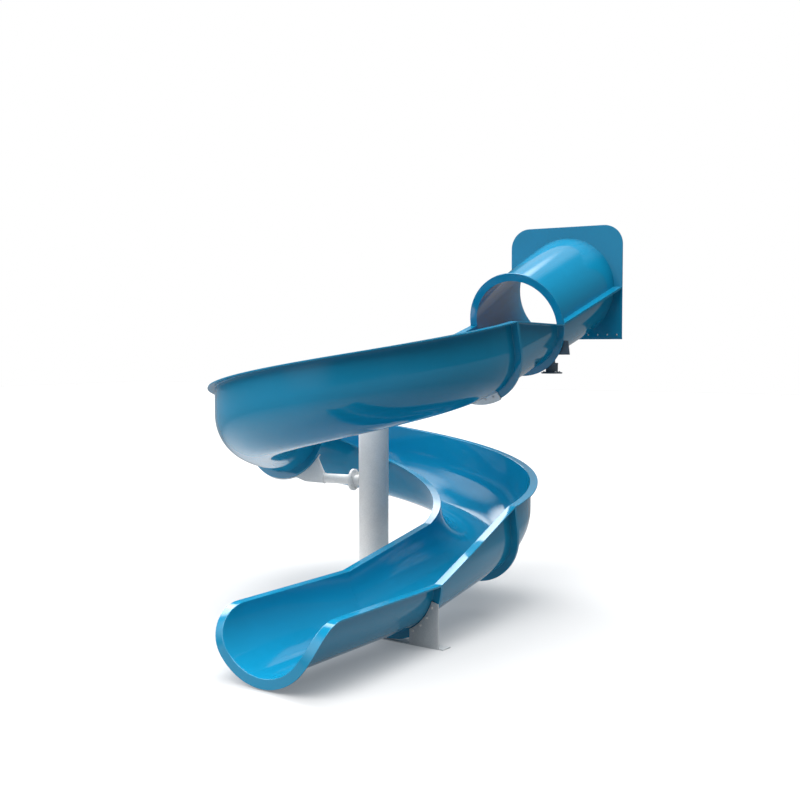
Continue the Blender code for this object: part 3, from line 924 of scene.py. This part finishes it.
def add_anchor(mesh, place, size):
    """Washer, nut and the threaded end of an anchor standing out of it."""
    add_bolt(mesh, place, UP, size)
    top = place + UP * (size[1] * (1.0 + WASHER_SHARE))
    stud = size[0] * STUD_SHARE
    profile = [(stud * STUD_THREAD[i % 2], STUD_PITCH * i) for i in range(STUD_RIDGES)]
    profile.append((stud * STUD_TIP, STUD_LENGTH))
    turned(mesh, top, UP, profile, STUD_SIDES, loop=False)


def add_weld(mesh, path, radius=WELD_R, closed=True):
    """A rippled weld bead along a path of points."""
    count = len(path)
    rows = []
    for i, point in enumerate(path):
        before = path[i - 1] if closed or i else point
        after = path[(i + 1) % count] if closed or i + 1 < count else point
        ahead = (after - before).normalized()
        side = ahead.orthogonal().normalized() if abs(ahead.z) > 0.9 else ahead.cross(UP).normalized()
        up = side.cross(ahead)
        swell = radius * (1.0 + WELD_SWELL[i % 2])
        row = []
        for k in range(WELD_SIDES):
            a = math.tau * k / WELD_SIDES
            row.append(mesh.verts.new(point + (side * math.cos(a) + up * math.sin(a)) * swell))
        rows.append(row)
    close_rows(mesh, rows, cap=not closed, loop=closed)


def ring_path(centre, axis, radius, cope_r=None):
    """Points around a pipe where its weld lies."""
    side = axis.cross(UP)
    if side.length < 0.5:
        side = EAST.copy()
    side.normalize()
    up = side.cross(axis)
    count = 2 * round(math.pi * radius / WELD_RIPPLE) + 2
    path = []
    for i in range(count):
        a = math.tau * i / count
        x, y = radius * math.cos(a), radius * math.sin(a)
        shift = math.sqrt(cope_r * cope_r - x * x) if cope_r else 0.0
        path.append(centre + side * x + up * y + axis * shift)
    return path


def line_path(start, end):
    """Points along a straight weld."""
    steps = max(2, round((end - start).length / (WELD_RIPPLE / 2.0)))
    return [start.lerp(end, i / steps) for i in range(steps + 1)]


def build_column():
    """Column with its base plate, four gussets, top cap, welds and anchor bolts."""
    half = BASE_W / 2.0
    corner = BASE_CORNER_R
    outline = []
    for i in range(4):
        cx = (half - corner) * (1, -1, -1, 1)[i]
        cy = (half - corner) * (1, 1, -1, -1)[i]
        for x, y in arc(corner, 90.0 * i, 90.0 * (i + 1), 6):
            outline.append((cx + x, cy + y))
    mesh = bmesh.new()
    # The column's steel and welds take the lighter copy of the steel, which is painted light
    add_plate(mesh, outline, Vector(), EAST, NORTH, UP * BASE_T, BASE_BEVEL)
    piece_from("column_base_steel", mesh, LIT_STEEL, ("column_base_plate",))

    mesh = bmesh.new()
    low = BASE_T + GAP
    add_tube(mesh, UP * low, UP, COLUMN_TOP - low, COLUMN_R, COLUMN_WALL, COLUMN_SIDES)
    piece_from("column_tube", mesh, LIT_STEEL, ("column_pipe",))
    mesh = bmesh.new()
    add_disc(mesh, UP * (COLUMN_TOP + GAP), UP, COLUMN_R + CAP_OVERHANG, CAP_T, COLUMN_SIDES)
    piece_from("column_top_plate", mesh, LIT_STEEL, ("column_cap",))

    welds = bmesh.new()
    add_weld(welds, ring_path(UP * low, UP, COLUMN_R + WELD_SEAT), WELD_BASE_R)
    path = ring_path(UP * (COLUMN_TOP - WELD_SEAT), UP, COLUMN_R + WELD_CAP_SEAT)
    add_weld(welds, path, WELD_CAP_R)
    reach, tall, thick = BASE_GUSSET
    for i in range(4):
        out = heading(45.0 + 90.0 * i)
        side = UP.cross(out)
        inner = COLUMN_R + GAP
        notch = inner + GUSSET_NOTCH
        tip = inner + reach
        outline = [
            (notch, low), (tip, low), (tip, low + GUSSET_FOOT_EDGE),
            (inner + GUSSET_TOP_EDGE, low + tall), (inner, low + tall), (inner, low + GUSSET_NOTCH),
        ]
        mesh = bmesh.new()
        add_plate(mesh, outline, side * (-thick / 2.0), out, UP, side * thick)
        piece_from(f"column_base_rib_{i + 1}", mesh, LIT_STEEL, (f"column_base_gusset_{i + 1}",))
        for face in (-thick / 2.0, thick / 2.0):
            foot = side * face + UP * low
            path = line_path(foot + out * notch, foot + out * tip)
            add_weld(welds, path, WELD_FINE_R, False)
            wall = side * face + out * inner
            path = line_path(wall + UP * (low + GUSSET_NOTCH), wall + UP * (low + tall))
            add_weld(welds, path, WELD_FINE_R, False)
    piece_from("column_welds", welds, LIT_WELD)

    mesh = bmesh.new()
    top = UP * BASE_T
    for x in (-1, 0, 1):
        for y in (-1, 0, 1):
            if x or y:
                add_anchor(mesh, Vector((x, y, 0)) * BASE_BOLT_OFFSET + top, M16)
    piece_from("column_anchor_bolts", mesh, ZINC)


def saddle_outline():
    """Steel saddle under a joint ring, widened on the column side to take the arm."""
    outline = arc(SADDLE_INNER_R, SADDLE_TO, SADDLE_FROM, 48)
    outline += arc(SADDLE_OUTER_R, SADDLE_FROM, SADDLE_FROM + 4.0, 2)
    outline += [
        (-ARM_REACH_INSET, -ARM_DROP + SADDLE_PAD_TOP),
        (-ARM_REACH_INSET, -ARM_DROP - SADDLE_PAD_LOW),
        (-SADDLE_WIDE_EDGE, -ARM_DROP - SADDLE_PAD_LOW),
    ]
    outline += arc(SADDLE_OUTER_R, SADDLE_WIDE_TO, SADDLE_TO, 26)
    return outline


def build_arm(label, joint, slope):
    """Bracket from the column to the saddle under one joint of the curve."""
    station = joint.moved(RING_BACK, slope)
    mesh = bmesh.new()
    thick = station.along * SADDLE_T
    # The saddle, arm and their welds take the lighter copy of the steel, which is painted light
    add_plate(mesh, saddle_outline(), station.centre, station.out, station.rising(), thick)
    piece_from(f"{label}_saddle_steel", mesh, LIT_STEEL, (f"{label}_arm_saddle",))

    bolts = bmesh.new()
    for y, z in arc(BOLT_CIRCLE_R, SADDLE_FROM + SADDLE_BOLT_MARGIN, SADDLE_TO - SADDLE_BOLT_MARGIN, 7):
        add_bolt(bolts, station.at(y, z, SADDLE_T), station.normal(), M12)

    target = station.at(-ARM_REACH_INSET, -ARM_DROP, SADDLE_T / 2.0)
    axis = Vector((target.x, target.y, 0.0)).normalized()
    corners = []
    for z in (-ARM_DROP + SADDLE_PAD_TOP, -ARM_DROP - SADDLE_PAD_LOW):
        for shift in (0.0, SADDLE_T):
            corners.append(station.at(-ARM_REACH_INSET, z, shift))
    reach = min(axis.dot(corner) for corner in corners)
    base = UP * target.z
    flange_back = ARM_FLANGE_FACE - ARM_FLANGE_T
    outer_start = ARM_FLANGE_FACE + GAP
    pipe_start = outer_start + ARM_FLANGE_T + GAP
    plate_start = reach - ARM_FLANGE_T - GAP

    mesh = bmesh.new()
    add_tube(mesh, base, axis, flange_back - GAP, ARM_R, ARM_WALL, cope_r=COLUMN_R + GAP)
    add_disc(mesh, base + axis * flange_back, axis, ARM_FLANGE_R, ARM_FLANGE_T, FLANGE_SIDES)
    piece_from(f"{label}_arm_inner", mesh, LIT_STEEL, (f"{label}_arm_stub", f"{label}_arm_stub_flange"))
    mesh = bmesh.new()
    add_disc(mesh, base + axis * outer_start, axis, ARM_FLANGE_R, ARM_FLANGE_T, FLANGE_SIDES)
    add_tube(mesh, base + axis * pipe_start, axis, plate_start - GAP - pipe_start, ARM_R, ARM_WALL)
    add_disc(mesh, base + axis * plate_start, axis, ARM_R + ARM_END_OVERHANG, ARM_FLANGE_T)
    piece_from(
        f"{label}_arm_outer", mesh, LIT_STEEL,
        (f"{label}_arm_flange", f"{label}_arm_pipe", f"{label}_arm_end_plate"),
    )

    side = axis.cross(UP)
    for i in range(ARM_FLANGE_BOLTS):
        a = math.radians(360.0 * (i + 0.5) / ARM_FLANGE_BOLTS)
        spot = base + (side * math.cos(a) + UP * math.sin(a)) * ARM_FLANGE_BOLT_R
        add_bolt(bolts, spot + axis * flange_back, -axis, M12)
        add_bolt(bolts, spot + axis * (outer_start + ARM_FLANGE_T), axis, M12)
    piece_from(f"{label}_arm_bolts", bolts, ZINC)

    welds = bmesh.new()
    add_weld(welds, ring_path(base, axis, ARM_R + WELD_SEAT, COLUMN_R + WELD_SEAT))
    for along in (flange_back, pipe_start, plate_start):
        add_weld(welds, ring_path(base + axis * along, axis, ARM_R + WELD_SEAT), WELD_FINE_R)
    edge_top = station.at(-ARM_REACH_INSET, -ARM_DROP + SADDLE_PAD_WELD, SADDLE_T / 2.0)
    edge_low = station.at(-ARM_REACH_INSET, -ARM_DROP - SADDLE_PAD_WELD, SADDLE_T / 2.0)
    for shift in (-SADDLE_T / 2.0, SADDLE_T / 2.0):
        step = station.along * shift
        add_weld(welds, line_path(edge_low + step, edge_top + step), WELD_FINE_R, False)
    piece_from(f"{label}_arm_welds", welds, LIT_WELD)


def build_entry_posts():
    """Two short posts, each with a bracket behind the ring of the entry joint."""
    joint = entry_station(0.0)
    station = entry_station(RING_BACK)
    ring_edge = SHELL_R + ENTRY_SADDLE_CLEARANCE
    low_angle = math.degrees(math.asin(ENTRY_SADDLE_TOP / ring_edge))
    high_angle = ENTRY_SADDLE_ANGLE
    low = -ENTRY_SADDLE_LOW - ENTRY_SADDLE_TAB
    thick = -station.along * SADDLE_T
    for label, side in (("left", -1.0), ("right", 1.0)):
        outline = [(side * y, z) for y, z in arc(ring_edge, -low_angle, -high_angle, 24)]
        outline.append((side * ring_edge * math.cos(math.radians(high_angle)), low))
        outline.append((side * (POST_OFFSET + POST_R), low))
        outline.append((side * (POST_OFFSET + POST_R + ENTRY_SADDLE_TAPER), -ENTRY_SADDLE_LOW))
        outline.append((side * ENTRY_SADDLE_EDGE, -ENTRY_SADDLE_LOW))
        outline.append((side * ENTRY_SADDLE_EDGE, -ENTRY_SADDLE_TOP))
        mesh = bmesh.new()
        add_plate(mesh, outline, station.centre, station.out, station.rising(), thick)
        # The brackets, posts and post welds take the darker copy of the steel, which is painted shade
        piece_from(f"entry_bracket_{label}", mesh, SHADED_STEEL, (f"entry_saddle_{label}",))

        edge = station.at(side * POST_OFFSET, low, -SADDLE_T)
        centre = edge - station.along * (GAP + POST_R)
        foot = Vector((centre.x, centre.y, joint.centre.z - POST_FOOT_DROP))
        pipe_low = foot.z + POST_FOOT_T + GAP
        head_low = joint.centre.z - POST_TOP - POST_HEAD_T
        start = Vector((centre.x, centre.y, pipe_low))
        mesh = bmesh.new()
        add_disc(mesh, foot, UP, POST_FOOT_R, POST_FOOT_T, FLANGE_SIDES)
        add_tube(mesh, start, UP, head_low - GAP - pipe_low, POST_R, POST_WALL)
        add_disc(mesh, Vector((centre.x, centre.y, head_low)), UP, POST_R, POST_HEAD_T)
        piece_from(
            f"entry_post_{label}_steel", mesh, SHADED_STEEL,
            (f"entry_post_foot_{label}", f"entry_post_{label}", f"entry_post_head_{label}"),
        )

        welds = bmesh.new()
        add_weld(welds, ring_path(start, UP, POST_R + WELD_SEAT))
        head = Vector((centre.x, centre.y, head_low))
        add_weld(welds, ring_path(head, UP, POST_R + WELD_CAP_SEAT), WELD_CAP_R)
        add_weld(welds, line_path(edge, edge + station.rising() * POST_WELD_H), WELD_R, False)
        piece_from(f"entry_post_{label}_welds", welds, SHADED_STEEL)

        bolts = bmesh.new()
        for y, z in arc(BOLT_CIRCLE_R, ENTRY_BOLT_ANGLE, -high_angle + ENTRY_BOLT_MARGIN, 3):
            add_bolt(bolts, station.at(side * y, z, -SADDLE_T), -station.normal(), M12)
        for i in range(4):
            out = heading(45.0 + 90.0 * i)
            add_bolt(bolts, foot + out * POST_FOOT_BOLT_R + UP * POST_FOOT_T, UP, M12)
        piece_from(f"entry_post_{label}_bolts", bolts, ZINC)


def build_ground_saddle():
    """Two upright plates and a thin floor plate that carry the joint before the run-out."""
    station = lower_station(LOWER_TRANSITION_LENGTH)
    floor = Vector((station.centre.x, station.centre.y, 0.0))
    face = RING_BACK
    front = face + GROUND_GUSSET_T
    back = -GROUND_PLATE_BACK
    outline = [
        (-GROUND_PLATE_HALF_W, back), (GROUND_PLATE_HALF_W, back),
        (GROUND_PLATE_HALF_W, front), (-GROUND_PLATE_HALF_W, front),
    ]
    mesh = bmesh.new()
    add_plate(mesh, outline, floor, station.out, station.along, UP * GROUND_PLATE_T)
    piece_from("ground_plate_steel", mesh, STEEL, ("ground_saddle_base",))

    ring_edge = SHELL_R + GROUND_GUSSET_CLEARANCE
    low = GROUND_PLATE_T + GAP - station.centre.z
    steep = math.degrees(math.acos(GROUND_GUSSET_IN / ring_edge))
    shallow = math.degrees(math.asin(GROUND_GUSSET_CUT / ring_edge))
    first, last = -shallow - GROUND_BOLT_MARGINS[0], -steep + GROUND_BOLT_MARGINS[1]
    foot = floor + UP * GROUND_PLATE_T + station.along * face
    bolts = bmesh.new()
    welds = bmesh.new()
    for label, side in (("left", -1.0), ("right", 1.0)):
        outline = [(side * y, z) for y, z in arc(ring_edge, -shallow, -steep, 24)]
        outline.append((side * GROUND_GUSSET_IN, low))
        outline.append((side * GROUND_GUSSET_OUT, low))
        outline.append((side * GROUND_GUSSET_OUT, -GROUND_GUSSET_TOP))
        base = station.centre + station.along * face
        mesh = bmesh.new()
        add_plate(mesh, outline, base, station.out, UP, station.along * GROUND_GUSSET_T)
        piece_from(f"ground_bracket_{label}", mesh, STEEL, (f"ground_saddle_{label}",))
        for y, z in arc(BOLT_CIRCLE_R, first, last, 3):
            add_bolt(bolts, station.at(side * y, z, front), station.along, M12)
        inner = foot + station.out * (side * GROUND_GUSSET_IN)
        outer = foot + station.out * (side * GROUND_GUSSET_OUT)
        add_weld(welds, line_path(inner, outer), WELD_FINE_R, False)
        across = side * GROUND_PLATE_HALF_W * GROUND_ANCHOR_SHARE
        spot = floor + station.out * across + UP * GROUND_PLATE_T
        add_anchor(bolts, spot + station.along * (back / 2.0), M12)
    piece_from("ground_saddle_bolts", bolts, ZINC)
    piece_from("ground_saddle_welds", welds, WELD)


# Camera, light and floor

def soft_light(nodes, links, view, azimuth, elevation, radius, soft, strength):
    """Radiance of a round soft light in the sky, in degrees from +X towards +Y."""
    aim = heading(azimuth) * math.cos(math.radians(elevation)) + UP * math.sin(math.radians(elevation))
    dot = nodes.new("ShaderNodeVectorMath")
    dot.operation = "DOT_PRODUCT"
    dot.inputs[1].default_value = aim
    links.new(view, dot.inputs[0])
    made = nodes.new("ShaderNodeMapRange")
    made.interpolation_type = "SMOOTHSTEP"
    made.inputs["From Min"].default_value = math.cos(math.radians(radius + soft))
    made.inputs["From Max"].default_value = math.cos(math.radians(max(0.0, radius - soft)))
    made.inputs["To Max"].default_value = strength
    links.new(dot.outputs["Value"], made.inputs["Value"])
    return made.outputs["Result"]


def build_studio():
    """Camera, floor and the world of soft lights, with plain white behind the slide."""
    scene = bpy.context.scene
    scene.view_settings.view_transform = "Standard"
    scene.view_settings.look = "None"

    data = bpy.data.cameras.new("photo_camera")
    data.lens = CAMERA_LENS
    data.sensor_width = 36.0
    data.clip_end = 200.0
    camera = bpy.data.objects.new("photo_camera", data)
    camera.location = CAMERA_PLACE
    camera.rotation_mode = "QUATERNION"
    camera.rotation_quaternion = CAMERA_AIM.to_track_quat("-Z", "Y")
    scene.collection.objects.link(camera)
    scene.camera = camera

    mesh = bmesh.new()
    bmesh.ops.create_grid(mesh, x_segments=8, y_segments=8, size=FLOOR_SIZE / 2.0)
    data = bpy.data.meshes.new("studio_floor")
    mesh.to_mesh(data)
    mesh.free()
    data.materials.append(floor_material())
    floor = bpy.data.objects.new("studio_floor", data)
    floor.location = (0.0, 0.0, -FLOOR_DROP)
    scene.collection.objects.link(floor)

    world = bpy.data.worlds.new("studio_white")
    world.use_nodes = True
    nodes, links = world.node_tree.nodes, world.node_tree.links
    background = nodes["Background"]
    view = nodes.new("ShaderNodeTexCoord").outputs["Generated"]
    total = None
    for light in SOFT_LIGHTS.values():
        value = soft_light(nodes, links, view, *light)
        if total is not None:
            joined = nodes.new("ShaderNodeMath")
            links.new(total, joined.inputs[0])
            links.new(value, joined.inputs[1])
            value = joined.outputs["Value"]
        total = value
    ambient = nodes.new("ShaderNodeMath")
    ambient.inputs[1].default_value = AMBIENT
    links.new(total, ambient.inputs[0])
    links.new(ambient.outputs["Value"], background.inputs["Color"])
    seen = nodes.new("ShaderNodeBackground")
    seen.inputs["Color"].default_value = (1.0, 1.0, 1.0, 1.0)
    path = nodes.new("ShaderNodeLightPath")
    mix = nodes.new("ShaderNodeMixShader")
    links.new(path.outputs["Is Camera Ray"], mix.inputs["Fac"])
    links.new(background.outputs["Background"], mix.inputs[1])
    links.new(seen.outputs["Background"], mix.inputs[2])
    links.new(mix.outputs["Shader"], nodes["World Output"].inputs["Surface"])
    scene.world = world


build_flumes()
build_start_plate()
build_column()
build_arm("upper", turn_station(0.0), UPPER_SLOPE)
build_arm("lower", turn_station(UPPER_CURVE_ANGLE), LOWER_SLOPE)
build_entry_posts()
build_ground_saddle()
build_studio()
